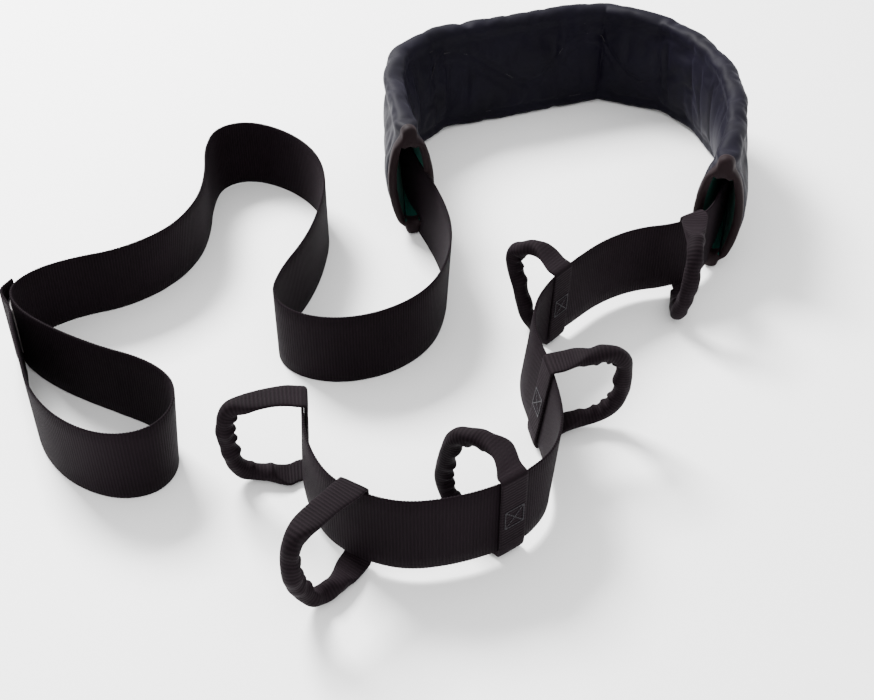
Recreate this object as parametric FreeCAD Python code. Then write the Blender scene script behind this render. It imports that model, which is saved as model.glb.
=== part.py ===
import FreeCAD, Part
import math
import os

# A padded gait belt lying as it is put down on a table: one long webbing strap
# standing on its edge, a quilted sleeve threaded over the middle of it, and six
# webbing grab handles along one end.  Millimetres.  The frame is +Z up with its
# origin at the bottom centre of the whole belt, +Y towards the sleeve.

os.makedirs("parts", exist_ok=True)

Vector = FreeCAD.Vector
UP = Vector(0, 0, 1)

# ---------------------------------------------------------------- driving sizes
STRAP_WIDTH = 75.0
STRAP_THICK = 2.2
ARC_SHARE = 0.45          # share of the shorter run that a rounded corner takes
HANDLE_LIFT = 8.0         # the handle end stands on its handles' lower arms

SLEEVE_HEIGHT = 125.0
SLEEVE_GAP = 6.0          # room for the strap between the two linings
LINING_THICK = 1.0
WADDING_THICK = 7.0
COVER_THICK = 1.0
TOP_ROLL = 17.0           # the padded roll along the sleeve's top edge
BOTTOM_ROLL = 14.0        # and the one that it stands on
ROLL_SKIN = 1.0
TAIL_RAMP_LIFT = 0.1      # where the strap comes down to the ground at the left mouth
SLEEVE_LIFT = BOTTOM_ROLL + 2.0
MOUTH_SPREAD = 14.0       # how far each lip of a mouth stands out from the flat tube
NECK_SPREAD = 4.0         # and how far one corner further in
BINDING_DEPTH = 11.0
BINDING_THICK = 1.2
THREAD = 0.9
THREAD_PROUD = 0.4
WAVE_PEAK_X = 50.0        # the quilting line's first peak, along X
WAVE_LENGTH = 140.0
WAVE_LEVEL = 66.0
WAVE_HEIGHT = 24.0        # peak above its middle level
WAVE_ENDS = (15.0, 295.0)

WEBBING_WIDTH = 25.0      # the handles' webbing
WEBBING_THICK = 3.0       # two plies sewn together
BAND_CLEAR = 1.0
BAND_LIP = 2.4            # how far a band's lips reach past the strap's middle
TONGUE_GAP = 0.6          # between a band's lip and the tongue that turns over it
LOWER_TONGUE = 4.2
GRIP_RADIUS = 6.5         # the rolled part that the hand holds
GRIP_BORE = 4.4
CORE_RADIUS = 4.2
GRIP_BEND = 20.0
GRIP_LEAD = 4.0           # straight lead into each bend of the grip
GRIP_PLUG = 2.0           # closed length at each end of the grip's bore
GRIP_LOW = GRIP_RADIUS
GRIP_HIGH = 84.0
TAPER = 14.0              # length over which the webbing narrows into the grip
STITCH_BOX = 18.0

TAPE_THICK = 1.0
TAPE_WIDTH = 50.0
TAPE_GAP = 0.4
PEEL_GAP = 0.4
STITCH_ROW_SHARE = 0.25   # how far along its short straight run each sewn row is

# ---------------------------------------------------------------- the strap's route
# Plan points of the strap's middle, from the cut end with the handles to the tail.
# Corners are rounded by arcs, so the strap runs a little inside each point.
HANDLE_RUN = [
    (-82, -241), (-78, -281), (-68, -315), (-50, -343), (-22, -360), (8, -368),
    (45, -362), (80, -348), (103, -331), (121, -307), (127, -273), (123, -233),
    (116, -197), (109, -165), (112, -127), (130, -93), (158, -61), (187, -31),
    (222, -11), (258, -5), (292, 15), (312, 57),
]
SLEEVE_RUN = [
    (330, 107), (344, 169), (347, 237), (326, 309), (296, 350), (227, 383),
    (190, 374), (130, 353), (34, 319), (-6, 269), (-12, 217),
]
TAIL_RUN = [
    (-6, 162), (11, 112), (31, 57), (42, 7), (40, -43), (26, -90), (-8, -125),
    (-54, -141), (-97, -132), (-120, -104), (-114, -65), (-95, -18), (-85, 32),
    (-82, 87), (-95, 138), (-127, 179), (-172, 203), (-207, 189), (-213, 147),
    (-207, 97), (-210, 50), (-230, 4), (-270, -31), (-315, -46), (-350, -68),
    (-365, -97), (-341, -126), (-305, -153), (-260, -177), (-218, -195),
    (-192, -221), (-186, -254), (-202, -281), (-236, -287), (-276, -268),
    (-307, -233), (-324, -191), (-340, -153), (-349, -124),
]
ROUTE = HANDLE_RUN + SLEEVE_RUN + TAIL_RUN
CENTRE = (-4.09, -10.67)  # the plan's middle, which the frame has its origin at
SLEEVE_ROUTE = [(307, 39)] + SLEEVE_RUN + [(-6, 162), (4, 97)]

# A run goes from one point to the next.  The strap is cut into stretches, each
# from the middle of one run to the middle of another, standing at one height.
FIRST_SLEEVE = len(HANDLE_RUN)
FIRST_TAIL = FIRST_SLEEVE + len(SLEEVE_RUN)
RIGHT_MOUTH_RUN = FIRST_SLEEVE - 1
LEFT_MOUTH_RUN = FIRST_TAIL
RAMP_RUNS = (FIRST_SLEEVE + 1, FIRST_TAIL - 2)   # between them the strap is level
FOLD_RUNS = (FIRST_TAIL + 24, FIRST_TAIL + 25)   # the sharp fold near the tail's end
PEEL_RUN = FIRST_TAIL + 37                       # where the stuck end lifts from
STRETCHES = {
    "strap_handle_front": (0, 8, HANDLE_LIFT),
    "strap_handle_side": (8, 15, HANDLE_LIFT),
    "strap_handle_mouth": (15, RIGHT_MOUTH_RUN, HANDLE_LIFT),
    "strap_tail_exit": (LEFT_MOUTH_RUN, FIRST_TAIL + 5, 0.0),
    "strap_tail_front_bend": (FIRST_TAIL + 5, FIRST_TAIL + 11, 0.0),
    "strap_tail_far_bend": (FIRST_TAIL + 11, FIRST_TAIL + 18, 0.0),
    "strap_tail_upper_run": (FIRST_TAIL + 18, FIRST_TAIL + 23, 0.0),
    "strap_tail_fold": (FIRST_TAIL + 23, FIRST_TAIL + 27, 0.0),
    "strap_tail_inner_run": (FIRST_TAIL + 27, FIRST_TAIL + 31, 0.0),
}

# Handles: the run each one sits on, how far along it, the side its loop is on
# (+1 left, -1 right of the route), its lean from square and its loop's reach.
HANDLES = {
    1: (19, 0.5, -1, -30.0, 66.0),
    2: (15, 0.4, 1, 2.0, 64.0),
    3: (11, 0.5, -1, -4.0, 74.0),
    4: (7, 0.3, 1, 12.0, 80.0),
    5: (3, 0.6, -1, -9.0, 78.0),
    6: (0, 0.35, -1, 3.0, 70.0),
}


# ---------------------------------------------------------------- plan geometry
def point(xy):
    return Vector(xy[0] - CENTRE[0], xy[1] - CENTRE[1], 0)


def heading(a, b):
    step = b - a
    step.normalize()
    return step


def left_of(direction):
    return Vector(-direction.y, direction.x, 0)


def middle(a, b):
    return (a + b) * 0.5


def rounded(corners, start, end):
    """The route from start to end round the given corners, as runs and arcs.
    Each entry is a list of (place, left normal) pairs: two for a run, three
    for an arc.  corners holds (previous, corner, next) triples."""
    pieces = []
    here = start
    for before, corner, after in corners:
        way_in = heading(before, corner)
        way_out = heading(corner, after)
        reach = ARC_SHARE * min((corner - before).Length, (after - corner).Length)
        arc_start = corner - way_in * reach
        arc_end = corner + way_out * reach
        turn = way_in.x * way_out.y - way_in.y * way_out.x
        half = 0.5 * way_in.getAngle(way_out)
        radius = reach / math.tan(half)
        side = 1.0 if turn > 0 else -1.0
        centre = arc_start + left_of(way_in) * (side * radius)
        to_mid = heading(centre, corner)
        pieces.append([(here, left_of(way_in)), (arc_start, left_of(way_in))])
        pieces.append([
            (arc_start, left_of(way_in)),
            (centre + to_mid * radius, to_mid * -side),
            (arc_end, left_of(way_out)),
        ])
        here = arc_end
    last = left_of(heading(here, end))
    pieces.append([(here, last), (end, last)])
    return pieces


def run_middle(spots, run):
    """The middle of a run, or the route's own end where the run is the end one."""
    if run == 0:
        return spots[0]
    if run == len(spots) - 2:
        return spots[-1]
    return middle(spots[run], spots[run + 1])


def stretch(spots, first, last):
    """The rounded route between the middles of two runs."""
    corners = [(spots[k - 1], spots[k], spots[k + 1]) for k in range(first + 1, last + 1)]
    return rounded(corners, run_middle(spots, first), run_middle(spots, last))


def moved(pieces, offset):
    """The same route, shifted sideways."""
    return [[(place + normal * offset, normal) for place, normal in piece] for piece in pieces]


def backwards(pieces):
    return [[(place, normal * -1) for place, normal in reversed(piece)]
            for piece in reversed(pieces)]


def shifted(spots, offsets):
    """The corners of a parallel route, each with its own offset to the left."""
    result = []
    for k, spot in enumerate(spots):
        ways = []
        if k > 0:
            ways.append(heading(spots[k - 1], spot))
        if k < len(spots) - 1:
            ways.append(heading(spot, spots[k + 1]))
        half = 0.5 * ways[0].getAngle(ways[-1])
        across = heading(Vector(), left_of(ways[0]) + left_of(ways[-1]))
        result.append(spot + across * (offsets[k] / math.cos(half)))
    return result


def side_edges(pieces, offset):
    """The route's edges moved sideways, to the left if offset is positive."""
    edges = []
    for piece in pieces:
        spots = [place + normal * offset for place, normal in piece]
        if len(spots) == 2:
            edges.append(Part.LineSegment(spots[0], spots[1]).toShape())
        else:
            edges.append(Part.Arc(spots[0], spots[1], spots[2]).toShape())
    return edges


def cap_edge(spot, offset_a, offset_b):
    place, normal = spot
    return Part.LineSegment(place + normal * offset_a, place + normal * offset_b).toShape()


def strip(pieces, left, right, low, high):
    """A solid between two offsets of a route and between two heights."""
    edges = side_edges(pieces, left) + side_edges(pieces, right)
    edges.append(cap_edge(pieces[0][0], left, right))
    edges.append(cap_edge(pieces[-1][-1], left, right))
    outline = Part.Wire(Part.__sortEdges__(edges))
    plan = Part.Face(outline)
    plan.translate(UP * low)
    return plan.extrude(UP * (high - low))


def export(name, shape):
    shape.exportStep("parts/%s.step" % name)


def block(size_x, size_y, size_z):
    """A box given by its (low, high) pair along each axis."""
    low = Vector(size_x[0], size_y[0], size_z[0])
    return Part.makeBox(size_x[1] - size_x[0], size_y[1] - size_y[0], size_z[1] - size_z[0], low)


ROUTE_SPOTS = [point(p) for p in ROUTE]
SLEEVE_SPOTS = [point(p) for p in SLEEVE_ROUTE]
STRAP_HALF = STRAP_THICK / 2


# ---------------------------------------------------------------- strap
def plain_strap(pieces, lift):
    return strip(pieces, STRAP_HALF, -STRAP_HALF, lift, lift + STRAP_WIDTH)


def sloping_strap(first, last, lift_first, lift_last):
    """A stretch whose lower edge climbs evenly with Y, cut from a taller strip."""
    far = 600.0
    y_first = run_middle(ROUTE_SPOTS, first).y
    slope = (lift_last - lift_first) / (run_middle(ROUTE_SPOTS, last).y - y_first)
    corners = []
    for y, extra in ((-far, 0), (far, 0), (far, STRAP_WIDTH), (-far, STRAP_WIDTH)):
        corners.append(Vector(-far, y, lift_first + slope * (y - y_first) + extra))
    slab = Part.Face(Part.makePolygon(corners + corners[:1])).extrude(Vector(2 * far, 0, 0))
    tall = strip(stretch(ROUTE_SPOTS, first, last), STRAP_HALF, -STRAP_HALF, -far, far)
    return tall.common(slab).Solids[0]


def strap_in_sleeve():
    """The hidden middle, with a ramp inside each mouth up onto the bottom roll."""
    right_in, left_in = RAMP_RUNS
    right_ramp = sloping_strap(RIGHT_MOUTH_RUN, right_in, HANDLE_LIFT, SLEEVE_LIFT)
    left_ramp = sloping_strap(left_in, LEFT_MOUTH_RUN, SLEEVE_LIFT, TAIL_RAMP_LIFT)
    level = plain_strap(stretch(ROUTE_SPOTS, right_in, left_in), SLEEVE_LIFT)
    return right_ramp.fuse([level, left_ramp]).removeSplitter().Solids[0]


def make_strap():
    for name, (first, last, lift) in STRETCHES.items():
        export(name, plain_strap(stretch(ROUTE_SPOTS, first, last), lift))
    export("strap_in_sleeve", strap_in_sleeve())


# ---------------------------------------------------------------- the stuck tail end
def make_tail_end():
    """The tail's end lies round the outside of the fold, held by hook and loop
    tape, and peels off about an upright line where it meets the front run."""
    spots = ROUTE_SPOTS
    pivot = middle(spots[PEEL_RUN], spots[PEEL_RUN + 1])
    fold = stretch(spots, *FOLD_RUNS)
    stand_off = -(2 * STRAP_HALF + 2 * TAPE_THICK + TAPE_GAP)
    wrap = backwards(moved(fold, stand_off))
    wrap_start, wrap_next = wrap[0][0][0], wrap[0][1][0]
    lead = rounded([(pivot, spots[-1], wrap_start), (spots[-1], wrap_start, wrap_next)],
                   pivot, wrap_next)
    pin = Part.makeCylinder(STRAP_HALF, STRAP_WIDTH, pivot)
    flap = plain_strap(lead + wrap[1:], 0.0).fuse(pin).removeSplitter().Solids[0]
    export("strap_tail_flap", flap)

    corners = [(spots[k - 1], spots[k], spots[k + 1])
               for k in range(FIRST_TAIL + 32, PEEL_RUN + 1)]
    start = run_middle(spots, FIRST_TAIL + 31)
    socket = Part.makeCylinder(STRAP_HALF + PEEL_GAP, STRAP_WIDTH, pivot)
    front = plain_strap(rounded(corners, start, pivot), 0.0).cut(socket).Solids[0]
    export("strap_tail_front_run", front)

    low = (STRAP_WIDTH - TAPE_WIDTH) / 2
    hook_face = -STRAP_HALF - TAPE_THICK
    loop_face = hook_face - TAPE_GAP
    export("tail_hook_tape", strip(fold, -STRAP_HALF, hook_face, low, low + TAPE_WIDTH))
    export("tail_loop_tape",
           strip(fold, loop_face, loop_face - TAPE_THICK, low, low + TAPE_WIDTH))

    outside = stand_off - STRAP_HALF
    rows = []
    for (place_a, normal), (place_b, _) in (fold[0], fold[-1]):
        along = heading(place_a, place_b)
        foot = place_a + (place_b - place_a) * STITCH_ROW_SHARE + normal * outside
        plan = Part.makePolygon([
            foot, foot + along * THREAD, foot + along * THREAD - normal * THREAD_PROUD,
            foot - normal * THREAD_PROUD, foot])
        row = Part.Face(plan).extrude(UP * TAPE_WIDTH)
        row.translate(UP * low)
        rows.append(row)
    export("tail_end_stitching", Part.makeCompound(rows))


# ---------------------------------------------------------------- sleeve
PANEL_HALF = (COVER_THICK + WADDING_THICK + LINING_THICK) / 2
PANEL_MIDDLE = SLEEVE_GAP / 2 + PANEL_HALF
SLEEVE_HALF = SLEEVE_GAP / 2 + 2 * PANEL_HALF
LAST_RUN = len(SLEEVE_ROUTE) - 2
ROLL_RUNS = (2, LAST_RUN - 2)        # the bottom roll lies between the two ramps
PANEL_TOP = SLEEVE_HEIGHT - TOP_ROLL


def panel_spots(side):
    """The corners of one wall's middle: +1 is the wall next to the wearer."""
    offsets = [PANEL_MIDDLE] * len(SLEEVE_SPOTS)
    for tip, neck in ((0, 1), (-1, -2)):
        offsets[tip] += MOUTH_SPREAD
        offsets[neck] += NECK_SPREAD
    return shifted(SLEEVE_SPOTS, [side * offset for offset in offsets])


def wall_layer(side, inner, outer):
    """One layer of a wall.  It stands on the bottom roll, and near the mouths,
    where the roll has ended, on the ground."""
    whole = strip(stretch(panel_spots(side), 0, LAST_RUN), side * inner, side * outer,
                  0.0, PANEL_TOP)
    wide = SLEEVE_HALF + MOUTH_SPREAD
    roll_room = strip(stretch(SLEEVE_SPOTS, *ROLL_RUNS), wide, -wide, -1.0, BOTTOM_ROLL)
    return whole.cut(roll_room).removeSplitter().Solids[0]


def roll(first, last, low, high, name):
    """A padded roll: a skin of cover cloth round a filler."""
    pieces = stretch(SLEEVE_SPOTS, first, last)
    outer = strip(pieces, SLEEVE_HALF, -SLEEVE_HALF, low, high)
    inner = strip(pieces, SLEEVE_HALF - ROLL_SKIN, -SLEEVE_HALF + ROLL_SKIN,
                  low + ROLL_SKIN, high - ROLL_SKIN)
    export("sleeve_%s_roll" % name, outer.cut(inner).Solids[0])
    export("sleeve_%s_filler" % name, inner)


def end_block(tip, inward, half, beyond, low, high):
    """A box about the end of a wall, reaching in by the binding's depth."""
    across = left_of(inward) * half
    outer = tip - inward * beyond
    inner = tip + inward * BINDING_DEPTH
    plan = Part.makePolygon([outer - across, inner - across, inner + across,
                             outer + across, outer - across])
    solid = Part.Face(plan).extrude(UP * (high - low))
    solid.translate(UP * low)
    return solid


def mouth_binding(end):
    """Tape folded over both lips of a mouth and the top roll's end.
    end is 0 for the right mouth and -1 for the left one."""
    step = 1 if end == 0 else -1
    solids = []
    for spots, half, low, high in (
            (panel_spots(1), PANEL_HALF, 0.0, PANEL_TOP),
            (panel_spots(-1), PANEL_HALF, 0.0, PANEL_TOP),
            (SLEEVE_SPOTS, SLEEVE_HALF, PANEL_TOP, SLEEVE_HEIGHT)):
        tip = spots[end]
        inward = heading(tip, spots[end + step])
        around = end_block(tip, inward, half + BINDING_THICK, BINDING_THICK, low, high)
        solids.append(around.cut(end_block(tip, inward, half, 0.0, low, high)).Solids[0])
    return Part.makeCompound(solids)


def wave_edges(shift):
    """A smooth wave of equal arcs in the XZ plane, from one end to the other."""
    edges = []
    quarter = WAVE_LENGTH / 4
    x = WAVE_PEAK_X - quarter
    side = 1
    while x + 2 * quarter <= WAVE_ENDS[1]:
        start = Vector(x, 0, WAVE_LEVEL + shift)
        top = Vector(x + quarter, 0, WAVE_LEVEL + side * WAVE_HEIGHT + shift)
        end = Vector(x + 2 * quarter, 0, WAVE_LEVEL + shift)
        edges.append(Part.Arc(start, top, end).toShape())
        x += 2 * quarter
        side = -side
    return edges


def quilting():
    """The wavy sewn line across the back of the wearer's side."""
    low = wave_edges(0.0)
    high = wave_edges(THREAD)
    ends = []
    for index in (0, -1):
        a = low[index].Vertexes[index].Point
        b = high[index].Vertexes[index].Point
        ends.append(Part.LineSegment(a, b).toShape())
    outline = Part.Wire(Part.__sortEdges__(low + high + ends))
    sheet = Part.Face(outline).extrude(Vector(0, 600, 0))
    right_in, left_in = ROLL_RUNS
    skin = strip(stretch(panel_spots(1), right_in, left_in), PANEL_HALF,
                 PANEL_HALF + THREAD_PROUD, BOTTOM_ROLL, PANEL_TOP)
    return Part.makeCompound(skin.common(sheet).Solids)


def edge_seams():
    """Rows of stitches on both walls, just inside the rolls."""
    right_in, left_in = ROLL_RUNS
    rows = []
    for side in (1, -1):
        pieces = stretch(panel_spots(side), right_in, left_in)
        for low in (BOTTOM_ROLL + THREAD, PANEL_TOP - 2 * THREAD):
            rows.append(strip(pieces, side * PANEL_HALF, side * (PANEL_HALF + THREAD_PROUD),
                              low, low + THREAD))
    return Part.makeCompound(rows)


def make_sleeve():
    lining = -PANEL_HALF + LINING_THICK
    wadding = lining + WADDING_THICK
    for side, name in ((1, "inner"), (-1, "outer")):
        export("sleeve_%s_lining" % name, wall_layer(side, -PANEL_HALF, lining))
        export("sleeve_%s_wadding" % name, wall_layer(side, lining, wadding))
        export("sleeve_%s_cover" % name, wall_layer(side, wadding, PANEL_HALF))
    roll(0, LAST_RUN, PANEL_TOP, SLEEVE_HEIGHT, "top")
    roll(ROLL_RUNS[0], ROLL_RUNS[1], 0.0, BOTTOM_ROLL, "bottom")
    export("sleeve_right_binding", mouth_binding(0))
    export("sleeve_left_binding", mouth_binding(-1))
    export("sleeve_quilting", quilting())
    export("sleeve_edge_seams", edge_seams())


# ---------------------------------------------------------------- handles
STRAP_TOP = HANDLE_LIFT + STRAP_WIDTH
BAND_FACE = -(STRAP_HALF + BAND_CLEAR)       # the band lies behind the strap


def handle_place(number):
    """A handle's placement: its own +Y points out through the loop, and Z is
    the upright line that the loop swings about, in the strap's middle."""
    run, share, side, lean, _ = HANDLES[number]
    a, b = ROUTE_SPOTS[run], ROUTE_SPOTS[run + 1]
    outward = left_of(heading(a, b)) * side
    square = math.degrees(math.atan2(outward.y, outward.x)) - 90.0
    spot = a + (b - a) * share
    upright = FreeCAD.Placement(spot, FreeCAD.Rotation(UP, square))
    leaning = FreeCAD.Placement(spot, FreeCAD.Rotation(UP, square + lean))
    return upright, leaning


def band():
    """The part of the webbing that is sewn to the strap: down its back face and
    a short way over both edges."""
    half = WEBBING_WIDTH / 2
    back = BAND_FACE - WEBBING_THICK
    across = (-half, half)
    plate = block(across, (back, BAND_FACE),
                  (HANDLE_LIFT - WEBBING_THICK, STRAP_TOP + WEBBING_THICK))
    upper = block(across, (back, BAND_LIP), (STRAP_TOP, STRAP_TOP + WEBBING_THICK))
    lower = block(across, (back, BAND_LIP), (HANDLE_LIFT - WEBBING_THICK, HANDLE_LIFT))
    return plate.fuse([upper, lower]).removeSplitter().Solids[0]


def box_stitch():
    """A sewn square with a cross in it, on the band's back."""
    half = STITCH_BOX / 2
    middle_z = HANDLE_LIFT + STRAP_WIDTH / 2
    face = BAND_FACE - WEBBING_THICK
    depth = (face - THREAD_PROUD, face)
    level = middle_z - THREAD / 2
    rows = []
    for sign in (-1, 1):
        edge = sign * half
        rows.append(block((edge - THREAD / 2, edge + THREAD / 2), depth,
                          (middle_z - half, middle_z + half)))
        rows.append(block((-half, half), depth, (level + edge, level + edge + THREAD)))
        bar = block((-half * math.sqrt(2), half * math.sqrt(2)), depth, (level, level + THREAD))
        bar.rotate(Vector(0, 0, middle_z), Vector(0, 1, 0), sign * 45)
        rows.append(bar)
    return rows[0].fuse(rows[1:]).removeSplitter().Solids[0]


def rod(reach, radius, inset):
    """A round rod along the grip's path, an upright C in the YZ plane."""
    out = reach - GRIP_RADIUS
    bend_y = out - GRIP_BEND
    start_y = bend_y - GRIP_LEAD + inset
    solids = []
    for level, bend_z in ((GRIP_HIGH, GRIP_HIGH - GRIP_BEND), (GRIP_LOW, GRIP_LOW + GRIP_BEND)):
        solids.append(Part.makeCylinder(radius, bend_y - start_y, Vector(0, start_y, level),
                                        Vector(0, 1, 0)))
        circle = Part.Circle(Vector(0, bend_y, level), Vector(0, 1, 0), radius).toShape()
        disc = Part.Face(Part.Wire(circle))
        turn = -90 if level == GRIP_HIGH else 90
        solids.append(disc.revolve(Vector(0, bend_y, bend_z), Vector(1, 0, 0), turn))
    low_z, high_z = GRIP_LOW + GRIP_BEND, GRIP_HIGH - GRIP_BEND
    solids.append(Part.makeCylinder(radius, high_z - low_z, Vector(0, out, low_z), UP))
    return solids[0].fuse(solids[1:]).removeSplitter().Solids[0]


def tongue(reach, low, high):
    """The flat webbing between the strap's edge and the grip, round at the end
    that turns about the strap."""
    half = WEBBING_WIDTH / 2
    tip = reach - GRIP_RADIUS - GRIP_BEND
    knee = tip - TAPER
    plan = Part.makePolygon([
        Vector(-half, 0, low), Vector(half, 0, low), Vector(half, knee, low),
        Vector(GRIP_RADIUS, tip, low), Vector(-GRIP_RADIUS, tip, low),
        Vector(-half, knee, low), Vector(-half, 0, low)])
    arm = Part.Face(plan).extrude(UP * (high - low))
    pad = Part.makeCylinder(half, high - low, Vector(0, 0, low))
    return arm.fuse(pad).removeSplitter().Solids[0]


def grip(reach):
    lip_top = STRAP_TOP + WEBBING_THICK
    upper = tongue(reach, lip_top + TONGUE_GAP, lip_top + TONGUE_GAP + WEBBING_THICK)
    lower = tongue(reach, 0.0, LOWER_TONGUE)
    outer = rod(reach, GRIP_RADIUS, 0.0)
    whole = outer.fuse([upper, lower]).removeSplitter().Solids[0]
    return whole.cut(rod(reach, GRIP_BORE, GRIP_PLUG)).Solids[0]


def make_handles():
    for number, (_, _, _, _, reach) in HANDLES.items():
        upright, leaning = handle_place(number)
        core_inset = GRIP_PLUG + (GRIP_BORE - CORE_RADIUS)
        for name, shape, place in (
                ("band", band(), upright), ("stitching", box_stitch(), upright),
                ("grip", grip(reach), leaning),
                ("core", rod(reach, CORE_RADIUS, core_inset), leaning)):
            shape.Placement = place
            export("handle_%d_%s" % (number, name), shape)


# ---------------------------------------------------------------- make everything
make_strap()
make_tail_end()
make_sleeve()
make_handles()
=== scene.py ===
import math

import bmesh
import bpy
import numpy as np
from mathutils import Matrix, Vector


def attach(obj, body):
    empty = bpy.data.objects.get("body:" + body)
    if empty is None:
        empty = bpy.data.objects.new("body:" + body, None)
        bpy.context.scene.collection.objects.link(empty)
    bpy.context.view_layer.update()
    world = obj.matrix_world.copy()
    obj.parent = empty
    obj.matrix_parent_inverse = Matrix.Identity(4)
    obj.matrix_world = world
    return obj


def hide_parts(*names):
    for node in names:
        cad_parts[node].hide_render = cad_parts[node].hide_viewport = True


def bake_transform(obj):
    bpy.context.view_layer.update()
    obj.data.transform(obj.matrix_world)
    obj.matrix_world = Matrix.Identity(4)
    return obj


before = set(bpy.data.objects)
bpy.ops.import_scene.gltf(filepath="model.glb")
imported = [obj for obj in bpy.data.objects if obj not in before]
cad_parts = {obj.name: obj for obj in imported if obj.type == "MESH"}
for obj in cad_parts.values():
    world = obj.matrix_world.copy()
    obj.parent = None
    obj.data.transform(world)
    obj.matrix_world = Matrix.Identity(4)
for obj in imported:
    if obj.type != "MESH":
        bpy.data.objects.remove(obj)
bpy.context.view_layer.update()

MM = 0.001
SHIFT = np.array([4.09, 10.67])          # route points are given from the belt's own layout origin

# ------------------------------------------------------------------ camera
CAMERA_PITCH = 50.0
camera = bpy.data.cameras.new("camera")
camera.lens = 53.55
camera.sensor_width = 36.0
camera_object = bpy.data.objects.new("camera", camera)
camera_object.location = (0.0341, -1.0203, 0.787)
camera_object.rotation_euler = (math.radians(CAMERA_PITCH), 0.0, 0.0)
bpy.context.scene.collection.objects.link(camera_object)
bpy.context.scene.camera = camera_object

# ------------------------------------------------------------------ the belt's sizes, mm
STRAP_WIDTH = 75.0
STRAP_HALF = 1.1
HANDLE_LIFT = 8.0
STRAP_RIB = 2.7                          # pitch of the strap's cross ribs
WEBBING_HALF = 12.5
WEBBING_THICK = 3.0
WEBBING_RIB = 3.0
SLEEVE_HEIGHT = 125.0

HANDLE_RUN = [
    (-82, -241), (-78, -281), (-68, -315), (-50, -343), (-22, -360), (8, -368),
    (45, -362), (80, -348), (103, -331), (121, -307), (127, -273), (123, -233),
    (116, -197), (109, -165), (112, -127), (130, -93), (158, -61), (187, -31),
    (222, -11), (258, -5), (292, 15), (312, 57),
]
SLEEVE_RUN = [
    (330, 107), (344, 169), (347, 237), (326, 309), (296, 350), (227, 383),
    (190, 374), (130, 353), (34, 319), (-6, 269), (-12, 217),
]
TAIL_RUN = [
    (-6, 162), (11, 112), (31, 57), (42, 7), (40, -43), (26, -90), (-8, -125),
    (-54, -141), (-97, -132), (-120, -104), (-114, -65), (-95, -18), (-85, 32),
    (-82, 87), (-95, 138), (-127, 179), (-172, 203), (-207, 189), (-213, 147),
    (-207, 97), (-210, 50), (-230, 4), (-270, -31), (-315, -46), (-347, -68),
    (-360, -97), (-341, -126), (-305, -153), (-260, -177), (-218, -195),
    (-192, -221), (-186, -254), (-202, -281), (-236, -287), (-276, -268),
    (-307, -233), (-324, -191), (-340, -153), (-349, -124),
]
ROUTE = np.array(HANDLE_RUN + SLEEVE_RUN + TAIL_RUN, float) + SHIFT
SLEEVE_ROUTE = np.array([(307, 39)] + SLEEVE_RUN + [(-6, 162), (4, 97)], float) + SHIFT
FIRST_SLEEVE = len(HANDLE_RUN)
FIRST_TAIL = FIRST_SLEEVE + len(SLEEVE_RUN)
PEEL_RUN = FIRST_TAIL + 37

# Handles: run, share along it, side, yaw in degrees
HANDLES = {
    1: (19, 0.5, -1, -30.0), 2: (15, 0.4, 1, 2.0), 3: (11, 0.5, -1, -4.0),
    4: (7, 0.3, 1, 12.0), 5: (3, 0.6, -1, -9.0), 6: (0, 0.35, -1, 3.0),
}

# How far the strap's top leans to the left of its route, at route points, mm
LEAN = [
    (0, 5.0), (1.5, 2.0), (3, 0.0), (8, 0.0), (10, -8.0), (12, -11.0), (14, -8.0), (16, 0.0),
    (32, 0.0), (34, 7.0), (37, 4.0), (39, 0.0), (51, 0.0), (54, 10.0), (56, 8.0), (59, 0.0),
    (61, 0.0), (63, 7.0), (65, 3.0), (67, 0.0), (72, 0.0),
]
# How far the sleeve's top leans to the left of its route, at its route points, mm
SLEEVE_LEAN = [
    (0, 0.0), (1, 2.0), (2, 6.0), (3, 13.0), (4, 17.0), (5, 17.0), (6, 6.0), (7, 0.0),
    (9, -4.0), (10, -10.0), (12, -8.0), (13, -2.0),
]
# Height of the strap's lower edge, at route points, mm
LIFT = [
    (0, 8.0), (21, 8.0), (23.5, 16.0), (31.5, 16.0), (33.5, 0.1), (34, 0.0), (72, 0.0),
]


FACET_SHARE = 0.13                       # the padded sleeve bends in facets
ROUTE_SHARES = np.full(len(ROUTE), 0.5)
ROUTE_SHARES[FIRST_SLEEVE:FIRST_TAIL] = FACET_SHARE
SLEEVE_SHARES = np.full(len(SLEEVE_ROUTE), FACET_SHARE)


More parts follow.
